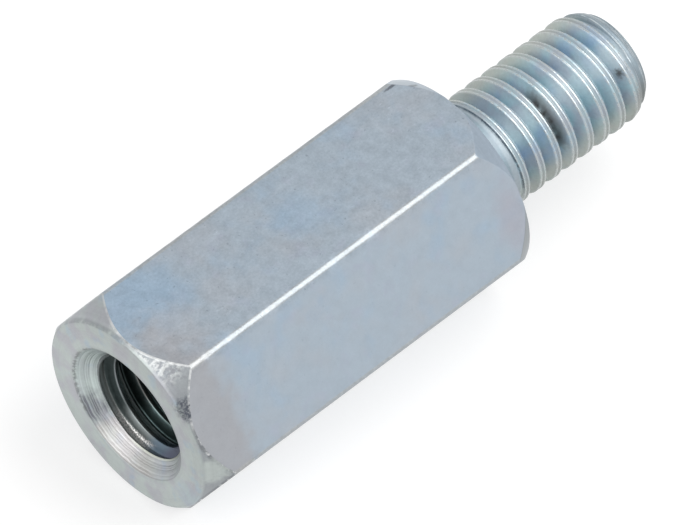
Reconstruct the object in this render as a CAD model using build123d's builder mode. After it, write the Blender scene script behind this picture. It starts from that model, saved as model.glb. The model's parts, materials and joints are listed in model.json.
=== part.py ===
from build123d import *
from math import cos, radians, tan
import os

os.makedirs("parts", exist_ok=True)

# A hexagonal standoff turned from one piece of hexagon bar, in millimetres.
# It lies on one of its flats along X: the threaded socket opens towards -X
# and the stud points towards +X. The origin is on the surface that it lies on,
# below the middle of its whole length.

# Hexagon bar
across_flats = 7.0
body_length = 14.0
edge_radius = 0.18

# Corners turned off the bar at its two ends, as cones measured from the axis
socket_face_diameter = 6.84
socket_cone_angle = 34.0
shoulder_face_diameter = 7.04
shoulder_cone_angle = 28.5

# Socket for an M4 screw: a countersunk blind hole of tapping size
socket_diameter = 3.3
socket_depth = 10.0
drill_point_angle = 118.0
countersink_diameter = 4.92
countersink_angle = 90.0

# M4 stud, at the outside of its thread, with a rounded tip
stud_diameter = 4.0
stud_length = 7.0
tip_diameter = 2.96
tip_length = 0.72
tip_bulge = 0.13

# Places along the axis, and the sizes that follow from those above
whole_length = body_length + stud_length
socket_end = -whole_length / 2
shoulder = socket_end + body_length
stud_end = shoulder + stud_length
tip_start = stud_end - tip_length
axis_height = across_flats / 2
corner_radius = across_flats / 2 / cos(radians(30))
socket_cone_length = (corner_radius - socket_face_diameter / 2) / tan(radians(socket_cone_angle))
shoulder_cone_length = (corner_radius - shoulder_face_diameter / 2) / tan(radians(shoulder_cone_angle))
drill_point_length = socket_diameter / 2 / tan(radians(drill_point_angle / 2))

# The turning axis, and the planes that the profiles are drawn on
turning_axis = Axis((0, 0, axis_height), (1, 0, 0))
bar_plane = Plane(origin=(socket_end, 0, axis_height), x_dir=(0, 1, 0), z_dir=(1, 0, 0))
lathe_plane = Plane(origin=(0, 0, axis_height), x_dir=(1, 0, 0), z_dir=(0, -1, 0))
mouth_plane = Plane(origin=(socket_end, 0, axis_height), x_dir=(0, 1, 0), z_dir=(-1, 0, 0))
drill_tip_plane = bar_plane.offset(socket_depth)

with BuildPart() as hex_standoff:
    # The bar, with its six long edges slightly rounded as drawn bar has them.
    with BuildSketch(bar_plane):
        RegularPolygon(radius=across_flats / 2, side_count=6, major_radius=False)
    extrude(amount=body_length)
    fillet(hex_standoff.edges().filter_by(Axis.X), radius=edge_radius)

    # Both ends are turned to a cone, which leaves a round face and curved corners.
    with BuildSketch(lathe_plane):
        with BuildLine():
            Polyline(
                (socket_end, 0),
                (socket_end, socket_face_diameter / 2),
                (socket_end + socket_cone_length, corner_radius),
                (shoulder - shoulder_cone_length, corner_radius),
                (shoulder, shoulder_face_diameter / 2),
                (shoulder, 0),
                close=True,
            )
        make_face()
    revolve(axis=turning_axis, mode=Mode.INTERSECT)

    # The stud grows out of the shoulder, as part of the same piece.
    with BuildSketch(lathe_plane):
        with BuildLine():
            Polyline(
                (stud_end, tip_diameter / 2),
                (stud_end, 0),
                (shoulder, 0),
                (shoulder, stud_diameter / 2),
                (tip_start, stud_diameter / 2),
            )
            SagittaArc((tip_start, stud_diameter / 2), (stud_end, tip_diameter / 2), tip_bulge)
        make_face()
    revolve(axis=turning_axis)

    # The socket: countersink, hole of tapping size and the cone that the drill leaves.
    with Locations(mouth_plane):
        CounterSinkHole(
            radius=socket_diameter / 2,
            counter_sink_radius=countersink_diameter / 2,
            depth=socket_depth,
            counter_sink_angle=countersink_angle,
        )
    with Locations(drill_tip_plane):
        Cone(
            bottom_radius=socket_diameter / 2,
            top_radius=0,
            height=drill_point_length,
            align=(Align.CENTER, Align.CENTER, Align.MIN),
            mode=Mode.SUBTRACT,
        )

hex_standoff.part.label = "hex_standoff"
export_step(hex_standoff.part, "parts/hex_standoff.step")
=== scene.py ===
import json
from collections import namedtuple
from math import atan2, cos, pi, radians, sin, sqrt, tan

import bmesh
import bpy
import numpy as np
from mathutils import Matrix, Vector


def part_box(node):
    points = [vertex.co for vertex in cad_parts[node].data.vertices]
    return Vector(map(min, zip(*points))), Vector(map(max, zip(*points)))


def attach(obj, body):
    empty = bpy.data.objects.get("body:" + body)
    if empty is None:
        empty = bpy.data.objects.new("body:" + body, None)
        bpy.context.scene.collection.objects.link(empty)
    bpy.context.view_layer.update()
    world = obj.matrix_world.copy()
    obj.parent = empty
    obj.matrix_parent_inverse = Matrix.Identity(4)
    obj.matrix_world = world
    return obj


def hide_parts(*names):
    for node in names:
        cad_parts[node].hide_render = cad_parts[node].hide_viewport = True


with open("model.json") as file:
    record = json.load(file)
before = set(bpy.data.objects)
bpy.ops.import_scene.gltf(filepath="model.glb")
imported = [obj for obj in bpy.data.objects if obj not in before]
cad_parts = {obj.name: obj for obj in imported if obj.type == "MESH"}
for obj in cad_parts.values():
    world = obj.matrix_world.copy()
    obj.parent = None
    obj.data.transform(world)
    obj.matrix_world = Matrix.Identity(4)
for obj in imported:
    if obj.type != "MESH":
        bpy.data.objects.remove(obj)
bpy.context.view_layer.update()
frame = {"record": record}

# The looks of a zinc-plated hexagonal standoff. Its one mesh is built here from rings
# around the turning axis, with both threads cut in it. Sizes are in millimetres, "along"
# is the distance from the socket's face, and angles go round the axis from +Y to +Z.
MM = 0.001

# Sizes that the frame gives
NODE = "hex_standoff"
low_corner, high_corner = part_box(NODE)
mounts = {mount["name"]: mount for mount in frame["record"]["mounts"]}
socket_end = low_corner.x / MM
whole_length = high_corner.x / MM - socket_end
across_flats = (high_corner.z - low_corner.z) / MM
flat_radius = across_flats / 2
axis_height = flat_radius
shoulder = mounts["shoulder_face"]["pos_m"][0] / MM - socket_end
stud_radius = mounts["stud"]["dims"]["r_mm"]
socket_radius = mounts["socket"]["dims"]["r_mm"]

# Sizes that follow the part's drawing
edge_radius = 0.18
socket_face_radius = 3.42
socket_cone_angle = radians(34.0)
shoulder_face_radius = 3.52
shoulder_cone_angle = radians(28.5)
countersink_radius = 2.46
socket_depth = 10.0
drill_point_angle = radians(118.0)

# The hexagon: the angle that one side takes, and where the arcs of its ridges are centred
side_angle = pi / 3
half_side = side_angle / 2
ridge_centre = (flat_radius - edge_radius) / cos(half_side)

# M4 x 0.7 thread, right-handed
pitch = 0.7
flank_slope = 1 / tan(radians(30.0))

# The angle of the ridge between the upper flat and the front one, which the photograph faces
front_angle = radians(120.0)


def smooth_step(low, high, value):
    """Rises from 0 at low to 1 at high, with soft ends."""
    t = np.clip((value - low) / (high - low), 0.0, 1.0)
    return t * t * (3 - 2 * t)


def smooth_min(a, b, width):
    """The smaller of two values, blended where they are less than width apart."""
    blend = np.clip(0.5 + 0.5 * (b - a) / width, 0.0, 1.0)
    return b + (a - b) * blend - width * blend * (1 - blend)


def smooth_max(a, b, width):
    """The larger of two values, blended where they are less than width apart."""
    return -smooth_min(-a, -b, width)


def bell(value, centre, width):
    """One at the centre, falling to nothing on both sides."""
    return np.exp(-(((value - centre) / width) ** 2))


def ripple(value, seed, count=5):
    """A smooth uneven wave of about one in height, the same on every run."""
    draws = np.random.RandomState(seed)
    total = np.zeros_like(np.asarray(value, float))
    for _ in range(count):
        total += np.sin(value * draws.uniform(0.6, 3.2) + draws.uniform(0, 2 * pi))
    return total / sqrt(count)


def to_points(along, radius, angle):
    """Points in metres, in the part's frame."""
    along, radius, angle = np.broadcast_arrays(along, radius, angle)
    across = radius * np.cos(angle)
    up = axis_height + radius * np.sin(angle)
    return np.stack([socket_end + along, across, up], axis=-1) * MM


# The body: a hexagon with rounded ridges and a cone at both ends. The margins hold the outer
# rings of the socket and the stud
mouth_margin = 0.14
stud_margin = 0.3
least_cone = 0.004
edge_rounding = [0.035, 0.045, 0.04, 0.03]
rings_between_edges = [5, 8, 60, 6, 5]
rings_for_even_run = 12

# A torn stretch of the near cone's edge, and small nicks in the ridges
torn_edge_angle = radians(176.0)
torn_edge_width = radians(7.0)
torn_edge_height = 0.035
nick_width = radians(1.6)
nick_depth = 0.016
nicks_from = (0.8, 1.3)
nicks_to = (shoulder - 0.4, shoulder - 1.0)


def past_ridge(angle):
    """Angle past the nearest ridge of the hexagon."""
    return (angle + half_side) % side_angle - half_side


def body_angles(on_ridge=12, on_flat=28):
    """Angles round the hexagon, close together on the six ridges."""
    bend = np.linspace(-half_side, half_side, on_ridge + 1)
    arc = np.arctan2(edge_radius * np.sin(bend), ridge_centre + edge_radius * np.cos(bend))
    flat = np.linspace(arc[-1], side_angle + arc[0], on_flat + 1)[1:-1]
    one_side = np.concatenate([arc, flat])
    return np.concatenate([one_side + side * side_angle for side in range(6)])


def hexagon_radius(angle):
    """Distance from the axis to the rounded hexagon."""
    off_ridge = np.abs(past_ridge(angle))
    on_arc = ridge_centre * np.cos(off_ridge) + np.sqrt(
        np.maximum(edge_radius**2 - (ridge_centre * np.sin(off_ridge)) ** 2, 0)
    )
    on_flat = flat_radius / np.cos(half_side - off_ridge)
    arc_end = atan2(edge_radius * sin(half_side), ridge_centre + edge_radius * cos(half_side))
    return np.where(off_ridge < arc_end, on_arc, on_flat)


def straight_run(start, end, count):
    """Stations from start to end, closer together near both ends of a run of many."""
    shares = np.linspace(0, 1, count + 1)[1:]
    if count > rings_for_even_run:
        shares = 0.5 - 0.5 * np.cos(pi * shares)
    return [start + (end - start) * share for share in shares]


def rounded_path(points, cuts, counts, arc_steps=4):
    """Stations along a path, with its inner corners rounded and counts of stations between them."""
    here = points[0]
    stations = [here]
    for before, corner, after, cut, count in zip(points, points[1:-1], points[2:], cuts, counts):
        to_before = before - corner
        to_after = after - corner
        reach_before = np.linalg.norm(to_before, axis=-1, keepdims=True)
        reach_after = np.linalg.norm(to_after, axis=-1, keepdims=True)
        size = np.minimum(cut, 0.45 * np.minimum(reach_before, reach_after))
        first = corner + to_before / np.maximum(reach_before, 1e-9) * size
        last = corner + to_after / np.maximum(reach_after, 1e-9) * size
        stations += straight_run(here, first, count)
        for t in np.linspace(0, 1, arc_steps + 1)[1:]:
            stations.append((1 - t) ** 2 * first + 2 * t * (1 - t) * corner + t * t * last)
        here = last
    return stations + straight_run(here, points[-1], counts[-1])


def body_rings():
    """Rings from the mouth of the socket, over the hexagon, to the foot of the stud."""
    angle = body_angles()
    outer = hexagon_radius(angle)
    near = np.maximum(outer - socket_face_radius, 0) / tan(socket_cone_angle)
    far = shoulder - np.maximum(outer - shoulder_face_radius, 0) / tan(shoulder_cone_angle)
    torn = bell(angle, torn_edge_angle, torn_edge_width)
    near = near + torn_edge_height * torn * ripple(angle * 60, 3)
    corners = [
        (0.0, countersink_radius + mouth_margin),
        (0.0, socket_face_radius),
        (near, outer),
        (far, outer),
        (shoulder, np.minimum(shoulder_face_radius, outer - least_cone)),
        (shoulder, stud_radius + stud_margin),
    ]
    points = [np.stack(np.broadcast_arrays(*corner, angle)[:2], axis=-1) for corner in corners]
    on_ridge = bell(past_ridge(angle), 0.0, nick_width)
    side = np.round(angle / side_angle)
    rings = []
    for station in rounded_path(points, edge_rounding, rings_between_edges):
        along, radius = station.T
        wear = np.maximum(ripple(along * 4.1 + side * 9.7, 11), 0) ** 2
        nick = on_ridge * wear * smooth_step(*nicks_from, along) * smooth_step(*nicks_to, along)
        rings.append(to_points(along, radius - nick_depth * nick, angle))
    return rings


# Threads: each ring climbs one pitch in a turn, so that the rings follow the helix


def helical_rings(first, last, steps, radius_at, angle):
    """Rings that stand at the steps of each pitch, held between the planes at first and last."""
    climb = pitch * angle / (2 * pi)
    turn_from = int(np.floor(first / pitch)) - 2
    turn_to = int(np.ceil(last / pitch)) + 1
    rings = []
    for turn in range(turn_from, turn_to):
        for step in steps:
            along = np.clip(turn * pitch + step + climb, first, last)
            rings.append(to_points(along, radius_at(along, angle), angle))
    return rings


def steps_of_pitch(samples, at_front):
    """Where rings stand within a pitch: samples before a crest, and their mirror behind it."""
    mirrored = -samples[(samples > -pitch / 2) & (samples < 0)]
    crest = at_front - pitch * front_angle / (2 * pi)
    return np.sort((np.concatenate([samples, mirrored]) + crest) % pitch)


# The stud's thread: broad crests with a shallow channel along them, narrow roots
root_radius = 1.57
run_out_radius = 1.95
crest_half = 0.098
crest_edge = 0.022
crest_rounding = 0.035
root_rounding = 0.05
channel_half = 0.070
channel_depth = 0.026
channel_wave = 0.012
flank_wave = 0.006
crest_at_front = shoulder + 1.150 + crest_half
stud_flank_samples = [-0.35, -0.335, -0.315, -0.29, -0.25, -0.21, -0.17]
stud_crest_samples = [-0.15, -0.13, -0.115, -0.102, -0.09, -0.076, -0.062, -0.046, -0.03, 0.0]
stud_samples = np.array(stud_flank_samples + stud_crest_samples)

# Its start, in turns from the first crest at the front, and the line pressed in before it
crest_rises = (-0.6, -0.3)
groove_deepens = (-1.0, -0.25)
start_line_place = -0.13
start_line_width = 0.022
start_line_depth = 0.035
start_line_rises = (-0.5, 0.0)

# Its end: the last turn is blunt, and the tip is rounded, just inside the CAD's end
blunt_share = 0.7
blunt_from = (whole_length - 0.75, whole_length - 0.45)
envelope_places = whole_length - np.array([0.8, 0.55, 0.4, 0.25, 0.12])
envelope_drops = [0.0, 0.07, 0.14, 0.22, 0.36]
thread_end = whole_length - 0.12
tip_end = whole_length - 0.02
tip_face_radius = 1.35
tip_bulge = 0.32


def tip_envelope(along):
    """The stud's outline near its tip, which the end of the rolling left smaller."""
    return stud_radius - np.interp(along, envelope_places, envelope_drops)


def stud_radius_at(along, angle):
    """The stud's radius, with its thread, its plain run-out and its blunt last turn."""
    turn = (angle - front_angle) / (2 * pi)
    past_first = along - crest_at_front - pitch * turn
    crest_number = np.round(past_first / pitch)
    from_crest = np.abs(past_first - crest_number * pitch)
    turns_from_start = crest_number + turn
    winding = turns_from_start * 2 * pi
    rising = smooth_step(*crest_rises, turns_from_start)
    channel = (channel_depth + channel_wave * ripple(winding * 0.9, 21)) * rising
    channel = channel * (0.5 + 0.5 * np.cos(pi * np.minimum(from_crest / channel_half, 1)))
    crest = run_out_radius + (stud_radius - run_out_radius) * rising - channel
    flank = stud_radius + flank_slope * (crest_half + crest_edge - from_crest)
    flank = flank + flank_wave * ripple(winding * 2.3 + 4, 22)
    radius = smooth_max(smooth_min(crest, flank, crest_rounding), root_radius, root_rounding)
    turns_of_groove = np.floor(past_first / pitch) + turn
    shallow = 1 - smooth_step(*groove_deepens, turns_of_groove)
    radius = np.maximum(radius, root_radius + (run_out_radius - root_radius) * shallow)
    start_line = bell(past_first, start_line_place, start_line_width) * (crest_number == 0)
    start_line = start_line * smooth_step(*start_line_rises, turns_from_start) * shallow
    radius = radius - start_line_depth * start_line
    blunt = blunt_share * smooth_step(*blunt_from, along)
    radius = radius + (tip_envelope(along) - radius) * blunt
    return np.minimum(radius, tip_envelope(along))


def stud_rings(angle_count=132):
    """Rings from the shoulder, along the thread and over the rounded tip."""
    angle = np.linspace(0, 2 * pi, angle_count + 1)
    rings = [to_points(shoulder, stud_radius + margin, angle) for margin in (0.05, -0.01)]
    steps = steps_of_pitch(stud_samples, crest_at_front)
    rings += helical_rings(shoulder, thread_end, steps, stud_radius_at, angle)
    at_end = stud_radius_at(thread_end, angle)
    for share in np.linspace(0.12, 1, 9):
        along = thread_end + (tip_end - thread_end) * sin(share * pi / 2)
        limit = tip_face_radius + tip_bulge * cos(share * pi / 2)
        rings.append(to_points(along, np.minimum(at_end, limit), angle))
    for share in (0.93, 0.8, 0.6, 0.4, 0.2):
        rings.append(to_points(tip_end, tip_face_radius * share, angle))
    return rings


# The socket: countersink with tool marks, thread, plain end and drill point
countersink_end = 0.53
socket_root = 2.03
socket_crest_at_front = 0.70
socket_crest_half = 0.07
socket_crest_rounding = 0.025
socket_root_rounding = 0.03
socket_thread_stop = 8.6
socket_thread_fade = 0.7
drill_tip = socket_depth + socket_radius / tan(drill_point_angle / 2)
socket_samples = np.array([-0.35, -0.30, -0.27, -0.24, -0.18, -0.12, -0.085, -0.065, -0.04])

# The mouth's soft edge, as steps along and outwards, and the worn first crests
mouth_edge = ((0.0, 0.09), (0.0, 0.03), (0.006, 0.008))
crest_wear = 0.075
crest_wear_start = 0.9
crest_wear_fade = 0.6


def tool_marks(along):
    """Fine grooves in the countersink."""
    return 0.006 * ripple(along * 42, 31) + 0.003 * ripple(along * 110, 32)


def socket_radius_at(along, angle):
    """The socket's radius, with the thread that ends in the countersink."""
    turn = (angle - front_angle) / (2 * pi)
    past_first = along - socket_crest_at_front - pitch * turn
    from_crest = np.abs(past_first - np.round(past_first / pitch) * pitch)
    wear = crest_wear * np.exp(-np.maximum(along - crest_wear_start, 0) / crest_wear_fade)
    crest = socket_radius + wear
    flank = crest + flank_slope * (from_crest - socket_crest_half)
    thread = smooth_max(flank, crest, socket_crest_rounding)
    thread = smooth_min(thread, socket_root, socket_root_rounding)
    depth = smooth_step(socket_thread_stop + socket_thread_fade, socket_thread_stop, along)
    cone = countersink_radius - along
    return np.maximum(socket_radius + (thread - socket_radius) * depth, cone)


def socket_rings(angle_count=100):
    """Rings from the mouth, down the countersink and the thread, to near the drill's point."""
    angle = np.linspace(0, 2 * pi, angle_count + 1)
    rings = [to_points(along, countersink_radius + margin, angle) for along, margin in mouth_edge]
    for along in np.linspace(0.02, countersink_end - 0.01, 34):
        radius = countersink_radius - along + tool_marks(along)
        rings.append(to_points(along, radius, angle))
    steps = steps_of_pitch(socket_samples, socket_crest_at_front)
    rings += helical_rings(countersink_end, socket_depth, steps, socket_radius_at, angle)
    for share in (0.25, 0.5, 0.75, 0.92):
        along = socket_depth + (drill_tip - socket_depth) * share
        rings.append(to_points(along, socket_radius * (1 - share), angle))
    return rings


# One mesh from all the rings
merge_distance = 1e-5 * MM


class MeshMaker:
    """Collects points and faces. Points that coincide are merged at the end."""

    def __init__(self):
        self.points = []
        self.faces = []
        self.count = 0

    def add(self, points):
        """Keeps the points and gives their numbers."""
        first = self.count
        self.points.append(points)
        self.count += len(points)
        return np.arange(first, self.count)

    def strip(self, ring_a, ring_b, closed):
        """Quads between two rings with as many points."""
        if closed:
            ring_a = np.append(ring_a, ring_a[0])
            ring_b = np.append(ring_b, ring_b[0])
        quads = np.stack([ring_a[:-1], ring_b[:-1], ring_b[1:], ring_a[1:]], axis=-1)
        self.faces += quads.tolist()

    def surface(self, rings, closed):
        """Strips between neighbouring rings. Gives the point numbers of the first and last ring."""
        ids = [self.add(ring) for ring in rings]
        for ring_a, ring_b in zip(ids[:-1], ids[1:]):
            self.strip(ring_a, ring_b, closed)
        return ids[0], ids[-1]

    def bridge(self, ids_a, angles_a, ids_b, angles_b):
        """Triangles between two flat rings whose points stand at other angles."""
        a, b = 0, 0
        while a < len(ids_a) or b < len(ids_b):
            next_a = angles_a[a + 1] if a + 1 < len(ids_a) else angles_a[0] + 2 * pi
            next_b = angles_b[b + 1] if b + 1 < len(ids_b) else angles_b[0] + 2 * pi
            here_a = ids_a[a % len(ids_a)]
            here_b = ids_b[b % len(ids_b)]
            if b >= len(ids_b) or (a < len(ids_a) and next_a <= next_b):
                self.faces.append([here_a, here_b, ids_a[(a + 1) % len(ids_a)]])
                a += 1
            else:
                self.faces.append([here_a, here_b, ids_b[(b + 1) % len(ids_b)]])
                b += 1

    def fan(self, ids, along):
        """Closes a ring with triangles to a point on the axis."""
        tip = self.add(to_points([along], 0.0, 0.0))[0]
        for here, after in zip(ids[:-1], ids[1:]):
            self.faces.append([here, tip, after])

    def finish(self, name):
        """Makes the mesh, closed and with its normals outwards, and puts it in the scene."""
        mesh = bpy.data.meshes.new(name)
        mesh.from_pydata(np.concatenate(self.points).tolist(), [], self.faces)
        work = bmesh.new()
        work.from_mesh(mesh)
        bmesh.ops.remove_doubles(work, verts=work.verts, dist=merge_distance)
        bmesh.ops.dissolve_degenerate(work, edges=work.edges, dist=merge_distance)
        bmesh.ops.recalc_face_normals(work, faces=work.faces)
        work.to_mesh(mesh)
        work.free()
        mesh.shade_smooth()
        piece = bpy.data.objects.new(name, mesh)
        bpy.context.scene.collection.objects.link(piece)
        return piece


def build_standoff():
    """The whole standoff as one closed mesh."""
    maker = MeshMaker()
    mouth, bottom = maker.surface(socket_rings(), closed=False)
    maker.fan(bottom, drill_tip)
    face, root = maker.surface(body_rings(), closed=True)
    stud_start, tip = maker.surface(stud_rings(), closed=False)
    maker.fan(tip, tip_end)
    around = body_angles()
    mouth_angles = np.linspace(0, 2 * pi, len(mouth))
    stud_angles = np.linspace(0, 2 * pi, len(stud_start))
    maker.bridge(mouth[:-1], mouth_angles[:-1], face, around)
    maker.bridge(root, around, stud_start[:-1], stud_angles[:-1])
    return maker.finish("standoff")


# Materials


def linear(red, green, blue):
    """A colour given as it looks on a screen, 0 to 255, as the shader takes it."""
    shares = [channel / 255 for channel in (red, green, blue)]
    return tuple(c / 12.92 if c < 0.04045 else ((c + 0.055) / 1.055) ** 2.4 for c in shares)


# A mark is an uneven spot on the part. Its edge and ragged are shares of its size, and a larger
# squeeze makes it narrower along that axis. A patch is a tint on a mark
Mark = namedtuple("Mark", "centre size edge ragged squeeze", defaults=(0.5, 0.5, (1, 1, 1)))
Patch = namedtuple("Patch", "tint strength mark")


class Graph:
    """Short names for the shader nodes used here. Lengths are in millimetres.

    "toward" is the distance from the axis towards the front ridge, and "across" is the
    distance at right angles to that, towards the back and the upper flat.
    """

    def __init__(self, name):
        self.material = bpy.data.materials.new(name)
        self.material.use_nodes = True
        self.tree = self.material.node_tree
        self.shader = self.tree.nodes["Principled BSDF"]
        coordinates = self.tree.nodes.new("ShaderNodeTexCoord")
        self.place = self.scaled(coordinates.outputs["Object"], 1 / MM)
        split = self.tree.nodes.new("ShaderNodeSeparateXYZ")
        self.link(self.place, split.inputs[0])
        self.x, self.y, self.z = split.outputs
        self.height = self.math("SUBTRACT", self.z, axis_height)
        self.along = self.math("SUBTRACT", self.x, socket_end)
        squares = self.add(self.math("POWER", self.y, 2), self.math("POWER", self.height, 2))
        self.radius = self.math("SQRT", squares)
        self.angle = self.math("ARCTAN2", self.height, self.y)
        self.toward = self.reach(front_angle)
        self.across = self.reach(front_angle - pi / 2)

    def reach(self, angle):
        """Distance from the axis in the direction of that angle."""
        return self.add(self.times(self.y, cos(angle)), self.times(self.height, sin(angle)))

    def link(self, source, target):
        """Feeds an input with another node's output, or sets it to a number or a colour."""
        if isinstance(source, (int, float)):
            target.default_value = source
        elif isinstance(source, tuple):
            target.default_value = (*source, 1.0) if len(target.default_value) == 4 else source
        else:
            self.tree.links.new(source, target)

    def math(self, operation, first, second=0.0):
        node = self.tree.nodes.new("ShaderNodeMath")
        node.operation = operation
        self.link(first, node.inputs[0])
        self.link(second, node.inputs[1])
        return node.outputs[0]

    def add(self, *values):
        total = values[0]
        for value in values[1:]:
            total = self.math("ADD", total, value)
        return total

    def times(self, *values):
        total = values[0]
        for value in values[1:]:
            total = self.math("MULTIPLY", total, value)
        return total

    def centred(self, value):
        """A noise's values about 0 instead of about 0.5."""
        return self.math("SUBTRACT", value, 0.5)

    def ramp(self, value, low, high, start=0.0, finish=1.0):
        """Goes softly from start, where the value is low, to finish, where it is high."""
        node = self.tree.nodes.new("ShaderNodeMapRange")
        node.interpolation_type = "SMOOTHSTEP"
        for source, socket in zip((value, low, high, start, finish), node.inputs):
            self.link(source, socket)
        return node.outputs[0]

    def band(self, value, rise, fall):
        """One between the rise and the fall, none outside them."""
        return self.times(self.ramp(value, *rise), self.ramp(value, *fall))

    def mix(self, factor, first, second):
        """From the first colour to the second. The node's inputs 6 and 7 are its colours."""
        node = self.tree.nodes.new("ShaderNodeMix")
        node.data_type = "RGBA"
        self.link(factor, node.inputs["Factor"])
        self.link(first, node.inputs[6])
        self.link(second, node.inputs[7])
        return node.outputs[2]

    def lay(self, colour, *layers):
        """The colour with tints laid over it, each as strong as its shares multiplied together."""
        for tint, *shares in layers:
            colour = self.mix(self.times(*shares), colour, tint)
        return colour

    def layers(self, patches):
        """What lay takes for a list of patches."""
        return [(patch.tint, self.spot(patch.mark), patch.strength) for patch in patches]

    def noise(self, size, detail=2.0, place=None, rough=0.5, offset=0.0, stretch=(1, 1, 1)):
        """Uneven values about 0.5, in patches of that size."""
        mapping = self.tree.nodes.new("ShaderNodeMapping")
        self.link(place or self.place, mapping.inputs["Vector"])
        mapping.inputs["Location"].default_value = (offset, offset * 0.7, offset * 1.3)
        mapping.inputs["Scale"].default_value = tuple(part / size for part in stretch)
        node = self.tree.nodes.new("ShaderNodeTexNoise")
        self.link(mapping.outputs[0], node.inputs["Vector"])
        node.inputs["Scale"].default_value = 1.0
        node.inputs["Detail"].default_value = detail
        node.inputs["Roughness"].default_value = rough
        return node.outputs["Fac"]

    def scatter(self, size, low, high, least=0.0, most=1.0, **noise_settings):
        """Scattered patches: least where the noise is under low, most where it is over high."""
        return self.ramp(self.noise(size, **noise_settings), low, high, least, most)

    def vector(self, x, y, z):
        node = self.tree.nodes.new("ShaderNodeCombineXYZ")
        for value, socket in zip((x, y, z), node.inputs):
            self.link(value, socket)
        return node.outputs[0]

    def vector_math(self, operation, first, second=(0, 0, 0), output="Vector"):
        node = self.tree.nodes.new("ShaderNodeVectorMath")
        node.operation = operation
        self.link(first, node.inputs[0])
        self.link(second, node.inputs[1])
        return node.outputs[output]

    def scaled(self, vector, amount):
        """A vector or a colour, multiplied by an amount."""
        node = self.tree.nodes.new("ShaderNodeVectorMath")
        node.operation = "SCALE"
        self.link(vector, node.inputs[0])
        self.link(amount, node.inputs["Scale"])
        return node.outputs["Vector"]

    def spot(self, mark):
        """One in a patch round the mark's centre, none outside it, with an uneven edge."""
        offset = self.vector_math("SUBTRACT", self.place, mark.centre)
        stretch = tuple(part / mark.size for part in mark.squeeze)
        stretched = self.vector_math("MULTIPLY", offset, stretch)
        length = self.vector_math("LENGTH", stretched, output="Value")
        uneven = self.centred(self.noise(mark.size * 0.45, 3.0, offset=mark.centre[0]))
        distance = self.add(length, self.times(uneven, mark.ragged * 2))
        return self.ramp(distance, 1 - mark.edge, 1 + mark.edge, 1.0, 0.0)

    def bump(self, height, depth):
        """A relief of that depth."""
        node = self.tree.nodes.new("ShaderNodeBump")
        node.inputs["Strength"].default_value = 1.0
        node.inputs["Distance"].default_value = depth * MM
        self.link(height, node.inputs["Height"])
        return node.outputs[0]

    def finish(self, colour, level, relief, depth, roughness, metallic):
        """Feeds the shader: the colour at that level of brightness, a relief and the gloss."""
        self.link(self.scaled(colour, level), self.shader.inputs["Base Color"])
        self.link(self.bump(relief, depth), self.shader.inputs["Normal"])
        self.link(roughness, self.shader.inputs["Roughness"])
        self.link(metallic, self.shader.inputs["Metallic"])
        return self.material


# Colours of the plating, as they look under even light
plate_blue_grey = linear(164, 176, 187)
plate_warm_grey = linear(172, 174, 179)
plate_blue = linear(150, 174, 196)
plate_green_grey = linear(178, 186, 184)
plate_teal = linear(162, 186, 195)
plate_yellow_grey = linear(184, 188, 178)
plate_violet = linear(166, 170, 187)


def shared_tint(graph):
    """The drifting tints that thin plating has all over."""
    warm = graph.scatter(1.6, 0.45, 0.7, most=0.35, detail=3.0, offset=3.1)
    blue = graph.scatter(1.1, 0.5, 0.75, most=0.35, detail=3.0, offset=9.4)
    violet = graph.scatter(0.7, 0.55, 0.75, most=0.3, offset=17.0)
    return graph.lay(
        plate_blue_grey, (plate_warm_grey, warm), (plate_blue, blue), (plate_violet, violet)
    )


# The flats, and the patches laid over them in this order
flat_dull_grey = linear(163, 164, 168)
flat_violet_grey = linear(166, 166, 176)
burr_grey = linear(92, 96, 104)
scrape_grey = linear(205, 212, 216)
ridge_grey = linear(174, 175, 172)
ridge_line = (3.972, 3.99)
flat_patches = [
    Patch(plate_blue, 0.65, Mark((-9.1, 0.9, across_flats), 1.35, squeeze=(0.8, 1, 1))),
    Patch(plate_blue, 0.45, Mark((-3.1, 0.1, across_flats), 0.8, edge=0.6)),
    Patch(flat_dull_grey, 0.85, Mark((-9.85, -3.0, 5.0), 1.35, 0.35, 0.45, (1.1, 0.4, 0.4))),
    Patch(plate_warm_grey, 0.5, Mark((-9.0, -0.5, across_flats), 0.9)),
    Patch(burr_grey, 0.8, Mark((2.58, 1.83, across_flats), 0.22, edge=0.4, squeeze=(0.85, 4.4, 1))),
    Patch(flat_violet_grey, 0.6, Mark((3.0, -3.2, 4.6), 0.9, edge=0.6, squeeze=(1.6, 1, 0.7))),
    Patch(scrape_grey, 0.5, Mark((1.9, 1.98, across_flats), 0.4, 0.4, 0.6, (0.6, 7, 1))),
]


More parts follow.
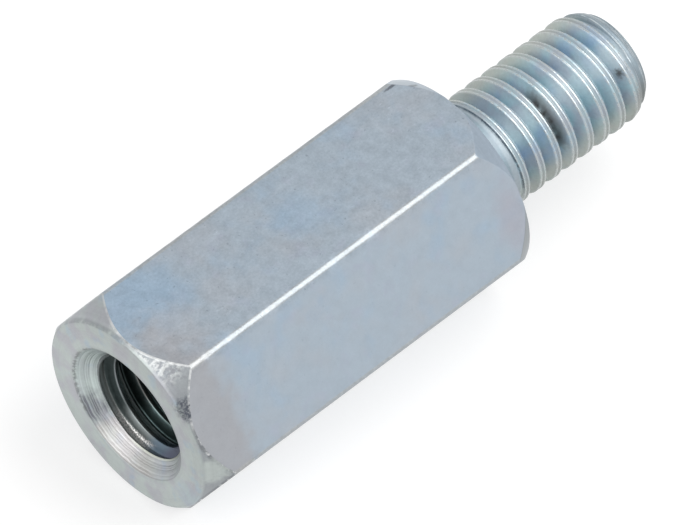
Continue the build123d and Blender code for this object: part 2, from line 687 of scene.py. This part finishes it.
def flat_material():
    """The six flats: mottled, with fine pits and stray scuffs."""
    graph = Graph("zinc_flats")
    on_ridge = graph.ramp(graph.radius, *ridge_line)
    patches = graph.layers(flat_patches)
    colour = graph.lay(shared_tint(graph), *patches, (ridge_grey, on_ridge, 0.5))
    on_top = graph.ramp(graph.z, across_flats - 0.4, across_flats - 0.05)
    strength = graph.ramp(on_top, 0, 1, 0.3, 1.0)
    mottle = graph.noise(0.34, 4.0, rough=0.6)
    fine = graph.noise(0.085, 3.0, rough=0.6, offset=5.0)
    flecks = graph.noise(0.13, 3.0, rough=0.7, offset=77.0)
    pits = graph.scatter(0.12, 0.68, 0.76, most=-0.22, offset=23.0)
    scuffs = graph.scatter(
        0.20, 0.66, 0.76, most=0.16, detail=3.0, rough=0.7, offset=41.0, stretch=(0.35, 1, 1)
    )
    level = graph.add(
        graph.ramp(on_top, 0, 1, 0.91, 0.85),
        graph.times(graph.centred(mottle), strength, 0.30),
        graph.times(graph.centred(fine), strength, 0.28),
        graph.times(pits, strength),
        graph.times(scuffs, strength),
        graph.times(graph.centred(flecks), on_ridge, 0.5),
    )
    relief = graph.times(graph.add(mottle, graph.times(fine, 0.4)), strength)
    roughness = graph.add(0.30, graph.times(mottle, 0.16))
    return graph.finish(colour, level, relief, 0.007, roughness, metallic=0.85)


# The turned faces: the ring beside the socket, and the end at the shoulder
low_blue_patch = Mark((-10.5, -2.9, 1.9), 0.6, 0.6, 0.6)
far_end_blue = linear(156, 169, 182)
far_low_shade_grey = linear(136, 140, 140)
far_top_highlight_grey = linear(190, 198, 204)
scratch_grey = linear(104, 112, 120)
scratch = Mark((3.08, 1.42, 6.96), 0.22, 0.4, 0.4, (0.8, 2.6, 1))

# The near cone and its edges
cone_grey = linear(144, 148, 152)
bright_zinc_glint = linear(226, 228, 226)
scale_grey = linear(122, 122, 128)
crisp_highlight_grey = linear(222, 224, 224)
low_edge_grey = linear(112, 116, 120)
corner_grey = linear(186, 194, 190)
wedge_grey = linear(78, 82, 92)
worn_cone_grey = linear(132, 136, 140)
cone_end = (1.5, 1.2)
torn_patch = Mark((-10.14, -0.55, 6.98), 0.62, 0.45, 0.6, (1, 0.5, 1))
scale_patch = Mark((-9.85, -1.55, 6.75), 0.5)
corner_patch = Mark((-10.22, -3.62, 3.75), 0.5, 0.4, 0.6)
wedge_patch = Mark((-10.29, -2.56, 5.95), 0.31, 0.5, 0.6, (1, 0.8, 0.8))

# The countersink
sink_top_lit_grey = linear(182, 194, 192)
sink_low_shade_grey = linear(156, 160, 166)
sink_lit_warm_grey = linear(182, 178, 176)
sink_line_grey = linear(120, 116, 114)
smear_violet = linear(84, 84, 96)
worn_mouth_grey = linear(112, 116, 116)
rim_highlight_cream = linear(206, 210, 198)
smear = Mark((-10.38, 1.83, 2.06), 0.56, 0.6, 0.6)


def shoulder_tones(graph, colour):
    """The end at the shoulder: bluer, with a painted highlight on its top and painted shade on its
    low side.
    """
    far_end = graph.ramp(graph.along, shoulder / 2 - 1, shoulder / 2)
    low = graph.ramp(graph.across, -0.9, -3.0)
    high = graph.ramp(graph.across, 1.6, 2.8)
    return graph.lay(
        colour,
        (far_end_blue, far_end),
        # Painted shade on the low side and a painted highlight along the top.
        (far_low_shade_grey, low, far_end, 0.75),
        (far_top_highlight_grey, high, far_end, 0.5),
        (scratch_grey, graph.spot(scratch), 0.7),
    )


def countersink_tones(graph, colour, sink):
    """The countersink: zones of painted light and shade, a dark smear, fine lines, worn edges and a
    painted highlight on its rim.
    """
    mouth = countersink_radius
    top = graph.ramp(graph.across, 0.8, 1.4)
    low = graph.ramp(graph.across, -1.3, -2.2)
    lit_far_side = graph.times(
        graph.ramp(graph.toward, -1.0, -1.6), graph.ramp(graph.across, 0.45, 0.15), sink
    )
    wobble = graph.times(graph.noise(0.5, offset=19.0), 0.12)
    ragged_radius = graph.vector(graph.add(graph.radius, wobble), 0, 0)
    streaks = graph.scatter(
        0.05, 0.35, 0.62, detail=3.0, place=ragged_radius, rough=0.8, offset=3.0
    )
    smear_strength = graph.add(0.25, graph.times(streaks, 0.6))
    worn = graph.times(
        graph.band(graph.radius, (mouth - 0.12, mouth - 0.04), (mouth + 0.06, mouth + 0.01)),
        graph.ramp(graph.across, 0.5, 1.0),
        graph.scatter(0.12, 0.42, 0.56, detail=3.0, offset=91.0),
    )
    rim = graph.ramp(graph.along, countersink_end - 0.09, countersink_end - 0.03)
    return graph.lay(
        colour,
        # Painted light and shade: paler at the top, darker low down, and a lighter warm zone on the
        # far side, over which the fine lines lie.
        (sink_top_lit_grey, top, sink, 0.6),
        (sink_low_shade_grey, low, sink, 0.4),
        (sink_lit_warm_grey, lit_far_side, 0.6),
        (smear_violet, graph.spot(smear), sink, smear_strength),
        (sink_line_grey, graph.ramp(streaks, 0.55, 0.95), lit_far_side, 0.45),
        (worn_mouth_grey, worn, 0.55),
        # Painted highlight: a pale line along the low side of the countersink's inner edge.
        (rim_highlight_cream, rim, sink, graph.ramp(graph.across, -0.4, -1.2), 0.8),
    )


def near_cone_tones(graph, colour, near_cone, torn, torn_cells):
    """The cone beside the socket: painted shade over it, torn and scaly places whose bright cells
    carry a painted glint, crisp edges of painted highlight, worn edges, a dark wedge.
    """
    ring = socket_face_radius
    cone_shade = graph.ramp(graph.across, 1.2, 2.2, 0.85, 0.35)
    scales = graph.scatter(0.11, 0.45, 0.6, offset=71.0)
    wedge_cells = graph.scatter(0.09, 0.35, 0.6, 0.4, 1.0, detail=3.0, offset=51.0)
    past_side = graph.math("FLOORED_MODULO", graph.angle, side_angle)
    from_middle = graph.math("SUBTRACT", past_side, half_side)
    out_to_flat = graph.times(graph.radius, graph.math("COSINE", from_middle))
    # Painted highlight: a bright line where the near cone meets the flats.
    crisp = graph.times(
        graph.ramp(out_to_flat, flat_radius - 0.045, flat_radius - 0.02),
        graph.ramp(graph.across, 2.1, 2.7, 1.0, 0.45),
        graph.scatter(0.22, 0.36, 0.54, 0.25, 1.0, detail=3.0, offset=95.0),
    )
    low_edge = graph.times(
        graph.ramp(out_to_flat, flat_radius - 0.09, flat_radius - 0.03),
        graph.ramp(graph.across, -1.4, -1.7),
        graph.ramp(graph.y, -2.4, -2.6),
        graph.scatter(0.16, 0.36, 0.5, detail=3.0, offset=81.0),
    )
    worn = graph.times(
        graph.band(graph.radius, (ring - 0.04, ring + 0.01), (ring + 0.12, ring + 0.05)),
        graph.ramp(graph.across, 1.3, 2.0),
        graph.ramp(graph.along, *cone_end),
        graph.scatter(0.3, 0.3, 0.6, detail=3.0, offset=97.0),
    )
    return graph.lay(
        colour,
        # Painted shade: the near cone is darkened, less so towards the top.
        (cone_grey, near_cone, cone_shade),
        # The torn cells are real relief; their bright colour is a painted glint.
        (bright_zinc_glint, torn, graph.ramp(torn_cells, 0.45, 0.57), 0.5),
        (scale_grey, graph.spot(scale_patch), near_cone, scales, 0.5),
        (crisp_highlight_grey, crisp, near_cone, 0.7),
        (low_edge_grey, low_edge, near_cone, 0.8),
        (corner_grey, graph.spot(corner_patch), near_cone, 0.7),
        (wedge_grey, graph.spot(wedge_patch), wedge_cells, 0.95),
        (worn_cone_grey, worn, 0.6),
    )


def turned_material():
    """Ring, cones, countersink and shoulder: fine turning marks and a few torn places."""
    graph = Graph("zinc_turned")
    warm = graph.scatter(0.8, 0.42, 0.65, detail=3.0, offset=2.0)
    blue = graph.scatter(0.6, 0.55, 0.7, offset=14.0)
    in_mouth = graph.ramp(graph.radius, countersink_radius + 0.01, countersink_radius - 0.04)
    sink = graph.times(in_mouth, graph.ramp(graph.along, 0.7, 0.65))
    off_ring = graph.ramp(graph.radius, socket_face_radius + 0.01, socket_face_radius + 0.08)
    near_cone = graph.times(off_ring, graph.ramp(graph.along, *cone_end))
    torn = graph.times(graph.spot(torn_patch), near_cone)
    torn_cells = graph.noise(0.20, 4.0, rough=0.6, offset=31.0, stretch=(0.5, 1, 1))
    colour = graph.lay(
        plate_green_grey,
        (plate_warm_grey, warm),
        (plate_blue, blue, 0.35),
        (plate_blue, graph.spot(low_blue_patch), 0.25),
    )
    colour = shoulder_tones(graph, colour)
    colour = countersink_tones(graph, colour, sink)
    colour = near_cone_tones(graph, colour, near_cone, torn, torn_cells)
    radial = graph.vector(graph.radius, graph.along, 0.0)
    turning_marks = graph.noise(0.055, place=radial, rough=0.7)
    broad = graph.noise(0.22, 1.0, place=radial, offset=4.0)
    grain = graph.noise(0.12, 3.0, offset=8.0)
    level = graph.add(
        1.0,
        # Painted light and shade: a slight grade, lighter on the side away from the front ridge and
        # darker towards it.
        graph.ramp(graph.toward, -3.0, 3.0, 0.10, -0.07),
        graph.times(graph.centred(broad), 0.2),
        graph.times(graph.centred(grain), 0.20),
        graph.times(graph.centred(turning_marks), graph.add(0.12, graph.times(sink, 0.9))),
    )
    relief = graph.add(
        graph.times(turning_marks, graph.add(0.5, sink)),
        graph.times(grain, 0.5),
        graph.times(torn_cells, torn, 2.0),
    )
    roughness = graph.add(0.30, graph.times(grain, 0.14))
    return graph.finish(colour, level, relief, 0.008, roughness, metallic=0.8)


def thread_place(graph, at_front):
    """Place on a thread: turns along it, and turns round the axis from the front."""
    turn = graph.math("DIVIDE", graph.math("SUBTRACT", graph.angle, front_angle), 2 * pi)
    turns_along = graph.math("DIVIDE", graph.math("SUBTRACT", graph.along, at_front), pitch)
    return graph.math("SUBTRACT", turns_along, turn), turn


def past_nearest_crest(graph, turns_along):
    """Distance past the nearest crest, negative towards the socket's end."""
    nearest = graph.math("ROUND", turns_along)
    return graph.times(graph.math("SUBTRACT", turns_along, nearest), pitch)


# The stud. Its stain lies along one groove, in turns past the first crest at the front
stain_and_shade_brown = linear(74, 70, 68)
stud_painted_sheen_grey = linear(200, 212, 216)
channel_grey = linear(118, 118, 120)
crest_grey = linear(170, 175, 176)
run_out_shade_grey = linear(118, 130, 140)
land_grey = linear(150, 160, 167)
start_grey = linear(98, 112, 122)
tip_grey = linear(128, 141, 149)
tip_line_grey = linear(196, 204, 208)
tip_rim_grey = linear(122, 130, 133)
tip_low_shade_grey = linear(112, 114, 110)
stain_turn = 2.043
stain_reach = (0.13, 0.07)
stain_limit = 0.92
stud_stain_and_shade_spots = [
    # A real dark stain, then a spot of painted shade on the low side near the tip.
    Patch(stain_and_shade_brown, 0.9, Mark((9.58, -1.31, 4.67), 0.19, 0.5, 0.6)),
    Patch(stain_and_shade_brown, 0.4, Mark((10.14, -1.7, 3.9), 0.34, 0.6, 0.6, (1.2, 1, 0.6))),
]


def stud_tint(graph):
    """The stud's plating: teal to blue, yellowish at its sides, with a painted sheen that makes it
    paler in front and behind.
    """
    grey = graph.scatter(0.7, 0.40, 0.62, offset=6.0)
    blue = graph.scatter(0.9, 0.52, 0.68, most=0.7, offset=12.0)
    sides = graph.ramp(graph.math("ABSOLUTE", graph.across), 1.2, 1.9)
    drift = graph.times(graph.centred(graph.noise(0.5, offset=27.0)), 0.9)
    aside = graph.math("ABSOLUTE", graph.add(graph.across, drift))
    return graph.lay(
        plate_teal,
        (plate_blue_grey, grey),
        (plate_blue, blue),
        (plate_yellow_grey, sides, 0.75),
        # Painted sheen: a paler band along the front and the back of the stud.
        (stud_painted_sheen_grey, graph.ramp(aside, 0.75, 0.05), 0.55),
    )


def run_out_tones(graph, tint, turns_along, broken):
    """Beside the shoulder: the plain run-out darkened by painted shade, a paler land, and the
    thread's start line.
    """
    run_out = graph.ramp(graph.along, shoulder + 1.0, shoulder + 0.9)
    land = graph.band(
        graph.along, (shoulder + 0.88, shoulder + 0.98), (shoulder + 1.18, shoulder + 1.12)
    )
    past_line = graph.add(graph.times(turns_along, pitch), 0.135)
    start_line = graph.ramp(graph.math("ABSOLUTE", past_line), 0.040, 0.018)
    return graph.lay(
        tint,
        # Painted shade: the run-out beside the shoulder is darkened.
        (run_out_shade_grey, run_out, 0.7),
        (land_grey, land, 0.8),
        (start_grey, start_line, broken, 0.45),
    )


def groove_stain(graph, turns_along, turn):
    """How strongly the stain covers its stretch of the groove."""
    groove = graph.math("FLOOR", turns_along)
    in_groove = graph.math("SUBTRACT", turns_along, groove)
    uneven = graph.centred(graph.noise(0.22, 3.0, offset=33.0))
    sideways = graph.add(in_groove, graph.times(uneven, 0.25))
    width = graph.band(sideways, (0.14, 0.26), (0.84, 0.60))
    past_middle = graph.math("SUBTRACT", graph.add(groove, turn), stain_turn)
    reach = graph.add(graph.math("ABSOLUTE", past_middle), graph.times(uneven, 0.10))
    density = graph.add(0.66, graph.times(uneven, 1.6))
    stain = graph.times(width, graph.ramp(reach, *stain_reach), density)
    return graph.math("MINIMUM", stain, stain_limit)


def stud_material():
    """The stud: its tints, rubbed crests beside dull channels, stains, painted shade near the tip,
    and a turned tip.
    """
    graph = Graph("zinc_stud")
    turns_along, turn = thread_place(graph, crest_at_front)
    from_crest = graph.math("ABSOLUTE", past_nearest_crest(graph, turns_along))
    channel = graph.ramp(from_crest, 0.035, 0.06, 1.0, 0.0)
    threaded = graph.ramp(graph.along, whole_length - 0.4, whole_length - 0.6)
    broken = graph.scatter(0.14, 0.38, 0.54, 0.1, 1.0, detail=3.0, offset=61.0)
    rubbed = graph.times(graph.band(from_crest, (0.05, 0.065), (0.14, 0.12)), broken)
    tint = graph.lay(
        stud_tint(graph), (channel_grey, channel, threaded, 0.4), (crest_grey, rubbed, 0.8)
    )
    tint = run_out_tones(graph, tint, turns_along, broken)
    stain = groove_stain(graph, turns_along, turn)
    tint = graph.lay(tint, (stain_and_shade_brown, stain), *graph.layers(stud_stain_and_shade_spots))
    tip = graph.ramp(graph.along, whole_length - 0.7, whole_length - 0.5)
    near_tip = graph.ramp(graph.along, whole_length - 1.0, whole_length - 0.5)
    rim = graph.ramp(graph.along, whole_length - 0.14, whole_length - 0.08)
    ring = graph.noise(0.05, place=graph.vector(graph.along, 0, 0), rough=0.7)
    tip_lines = graph.times(
        tip,
        graph.ramp(ring, 0.53, 0.58),
        graph.ramp(graph.radius, 1.1, 1.4),
        graph.scatter(0.5, 0.40, 0.55, offset=65.0, stretch=(3, 1, 1)),
    )
    tint = graph.lay(
        tint,
        (tip_grey, tip, 0.85),
        (tip_line_grey, tip_lines, 0.7),
        (tip_rim_grey, rim, graph.ramp(graph.across, 1.2, 0.4), 0.8),
        # Painted shade: the tip is darker on its low side.
        (tip_low_shade_grey, near_tip, graph.ramp(graph.across, -0.9, -1.6), 0.75),
    )
    grain = graph.noise(0.10, 3.0, rough=0.6)
    level = graph.add(
        1.06,
        graph.times(graph.centred(grain), 0.3),
        graph.times(graph.centred(ring), tip, 0.9),
    )
    relief = graph.add(grain, graph.times(ring, tip, 1.5))
    shine = graph.math("MAXIMUM", rubbed, tip_lines)
    roughness = graph.add(0.45, graph.times(shine, -0.18))
    metallic = graph.add(0.42, graph.times(shine, 0.48))
    return graph.finish(tint, level, relief, 0.006, roughness, metallic)


# The inside of the socket
bore_shade_grey = linear(42, 50, 50)
bore_grey = linear(60, 68, 68)
behind_lit_grey = linear(164, 172, 172)
margin_grey = linear(150, 156, 154)
facing_reflection_grey = linear(128, 134, 134)
bore_low_lit_blue = linear(98, 115, 130)
bore_low_lit_violet = linear(92, 92, 112)
first_crest_highlight_grey = linear(150, 156, 158)
deep_crest_grey = linear(112, 108, 106)
strip_chatter_highlight_grey = linear(214, 212, 210)
bore_teal = linear(120, 142, 142)


def bore_material():
    """Inside the socket, where the plating is thin and dull: a dark base colour of painted shade,
    with zones of painted light.
    """
    graph = Graph("zinc_bore")
    turns_along = thread_place(graph, socket_crest_at_front)[0]
    past_crest = past_nearest_crest(graph, turns_along)
    first_turn = graph.ramp(graph.along, 1.35, 1.25)
    second_turn = graph.ramp(graph.along, 1.25, 1.4)
    deeper = graph.math("SUBTRACT", 1.0, first_turn)
    grain = graph.noise(0.16, 3.0)
    specks = graph.scatter(0.05, 0.35, 0.6, rough=0.7, offset=7.0)
    behind = graph.ramp(past_crest, 0.05, 0.12)
    margin = graph.times(graph.ramp(past_crest, -0.22, -0.28), graph.ramp(graph.along, 0.95, 0.8))
    facing = graph.band(past_crest, (-0.26, -0.06), (0.1, 0.06))
    crest = graph.ramp(graph.math("ABSOLUTE", past_crest), 0.10, 0.07)
    strip = graph.times(
        graph.ramp(graph.along, 0.84, 0.78), graph.band(graph.across, (0.6, 0.1), (-1.4, -1.0))
    )
    colour = graph.lay(
        # Painted shade: the dark base of the bore.
        bore_shade_grey,
        (bore_grey, grain),
        # Painted light: the flanks that face away from the mouth are made paler.
        (behind_lit_grey, behind),
        (margin_grey, margin, 0.9),
        # Painted reflection: the first flank that faces the mouth is paler on its lower part.
        (facing_reflection_grey, facing, first_turn, graph.ramp(graph.across, 0.5, -0.2)),
        # Painted light: the first turn is lighter, bluer and more violet on its low side.
        (bore_low_lit_blue, graph.ramp(graph.across, -0.85, -1.3), first_turn, 0.85),
        (bore_low_lit_violet, graph.ramp(graph.across, -1.45, -1.8), first_turn, 0.7),
        # Painted highlight: the first crests are paler on their upper side.
        (first_crest_highlight_grey, crest, first_turn, graph.ramp(graph.across, 0.0, 0.8), 0.7),
        (deep_crest_grey, crest, deeper, 0.5),
        # Real chatter specks near the mouth, made bright on the lower side as a painted highlight.
        (strip_chatter_highlight_grey, strip, specks),
        (bore_teal, second_turn, graph.ramp(graph.across, 0.2, -0.5), 0.5),
    )
    # Painted light: brighter deeper in the socket.
    level = graph.ramp(graph.along, 1.2, 1.9, 1.0, 1.35)
    dull = graph.math("MAXIMUM", margin, behind)
    metallic = graph.add(1.0, graph.times(dull, -0.75))
    return graph.finish(colour, level, grain, 0.006, roughness=0.34, metallic=metallic)


# Where one material passes to the next: the least slope of a turned face, and the margins
turned_slope = 0.2
mouth_rim = 0.12
stud_rim = 0.1
end_margin = 1.0
bore_margin = 0.005
shoulder_margin = 0.001


def share_materials(piece):
    """Gives each face the material of the surface that it lies on."""
    mesh = piece.data
    centres = np.empty(len(mesh.polygons) * 3)
    normals = np.empty(len(mesh.polygons) * 3)
    mesh.polygons.foreach_get("center", centres)
    mesh.polygons.foreach_get("normal", normals)
    x, y, z = centres.reshape(-1, 3).T / MM
    along = x - socket_end
    radius = np.hypot(y, z - axis_height)
    flats, turned, stud, bore = range(4)
    steep = np.abs(normals[::3]) > turned_slope
    inside = (radius < countersink_radius + mouth_rim) & (along < shoulder - end_margin)
    in_thread = inside & (along > countersink_end + bore_margin)
    on_stud = (along > shoulder + shoulder_margin) & (radius < stud_radius + stud_rim)
    choice = np.where(steep | inside, turned, flats)
    choice[in_thread] = bore
    choice[on_stud] = stud
    mesh.polygons.foreach_set("material_index", choice.astype(np.int32))
    mesh.update()


standoff = build_standoff()
for finish in (flat_material(), turned_material(), stud_material(), bore_material()):
    standoff.data.materials.append(finish)
share_materials(standoff)
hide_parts(NODE)
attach(standoff, "root")

# The floor, in metres, just below the lower flat, so that the two faces don't coincide
floor_half = 2.0
floor_level = -0.02 * MM
floor_grey = 0.44
floor_lift = 0.62


def seen_ray(tree):
    """One for rays that show the backdrop: seen directly, reflected or let through."""
    path = tree.nodes.new("ShaderNodeLightPath")
    seen = path.outputs["Is Camera Ray"]
    for kind in ("Is Glossy Ray", "Is Transmission Ray"):
        either = tree.nodes.new("ShaderNodeMath")
        either.operation = "MAXIMUM"
        tree.links.new(seen, either.inputs[0])
        tree.links.new(path.outputs[kind], either.inputs[1])
        seen = either.outputs[0]
    return seen


def floor_material():
    """Pale and matt. It keeps the shadow, and is lifted to white where it is seen."""
    material = bpy.data.materials.new("pale_floor")
    material.use_nodes = True
    tree = material.node_tree
    shader = tree.nodes["Principled BSDF"]
    shader.inputs["Base Color"].default_value = (floor_grey, floor_grey, floor_grey, 1)
    shader.inputs["Roughness"].default_value = 0.9
    shader.inputs["Specular IOR Level"].default_value = 0.0
    shader.inputs["Emission Color"].default_value = (1, 1, 1, 1)
    lift = tree.nodes.new("ShaderNodeMath")
    lift.operation = "MULTIPLY"
    lift.inputs[1].default_value = floor_lift
    tree.links.new(seen_ray(tree), lift.inputs[0])
    tree.links.new(lift.outputs[0], shader.inputs["Emission Strength"])
    return material


floor_corners = [
    (side * floor_half, end * floor_half, floor_level)
    for side, end in ((-1, -1), (1, -1), (1, 1), (-1, 1))
]
floor_mesh = bpy.data.meshes.new("floor")
floor_mesh.from_pydata(floor_corners, [], [(0, 1, 2, 3)])
floor = bpy.data.objects.new("floor", floor_mesh)
bpy.context.scene.collection.objects.link(floor)
floor.data.materials.append(floor_material())

# Light, in metres: an even white world, brighter where it is seen, and two lamps
backdrop_level = 1.0
fill_level = 0.55
lamp_distance = 0.6

world = bpy.data.worlds.new("studio")
bpy.context.scene.world = world
world.use_nodes = True
background = world.node_tree.nodes["Background"]
background.inputs["Color"].default_value = (1, 1, 1, 1)
world_level = world.node_tree.nodes.new("ShaderNodeMapRange")
world_level.inputs["To Min"].default_value = fill_level
world_level.inputs["To Max"].default_value = backdrop_level
world.node_tree.links.new(seen_ray(world.node_tree), world_level.inputs["Value"])
world.node_tree.links.new(world_level.outputs[0], background.inputs["Strength"])


def soft_light(name, direction, width, length, power):
    """A lamp that shines on the standoff, with its length across it."""
    lamp = bpy.data.lights.new(name, "AREA")
    lamp.shape = "ELLIPSE"
    lamp.size = width
    lamp.size_y = length
    lamp.energy = power
    holder = bpy.data.objects.new(name, lamp)
    bpy.context.scene.collection.objects.link(holder)
    back = Vector(direction).normalized()
    across = Vector((0, sin(front_angle), -cos(front_angle)))
    side = across.cross(back).normalized()
    axes = Matrix((side, back.cross(side), back)).transposed().to_4x4()
    centre = Vector((0, 0, axis_height * MM))
    holder.matrix_world = Matrix.Translation(centre + back * lamp_distance) @ axes


soft_light("key", direction=(0.43, -0.45, 0.78), width=0.45, length=0.95, power=2.9)
soft_light("left", direction=(-0.8, 0.08, 0.55), width=0.55, length=0.55, power=1.1)

# Camera, at the photograph's place
camera_azimuth = radians(-43.549)
camera_elevation = radians(51.150)
camera_distance = 448.04 * MM
focal_pixels = 14301.15
photo_width = 700
aim = Vector((-0.5, 0.0, axis_height)) * MM
aim_right = -0.3167 * MM
aim_up = -0.6234 * MM

camera_data = bpy.data.cameras.new("camera")
camera_data.sensor_width = 36.0
camera_data.lens = focal_pixels / photo_width * camera_data.sensor_width
camera_data.clip_start = 0.01
camera_data.clip_end = 20.0
camera = bpy.data.objects.new("camera", camera_data)
bpy.context.scene.collection.objects.link(camera)
towards = Vector(
    (
        sin(camera_azimuth) * cos(camera_elevation),
        -cos(camera_azimuth) * cos(camera_elevation),
        sin(camera_elevation),
    )
)
right = Vector((cos(camera_azimuth), sin(camera_azimuth), 0.0))
up = towards.cross(right)
eye = aim + right * aim_right + up * aim_up + towards * camera_distance
axes = Matrix((right, up, towards)).transposed().to_4x4()
camera.matrix_world = Matrix.Translation(eye) @ axes
bpy.context.scene.camera = camera
bpy.context.scene.view_settings.view_transform = "Standard"
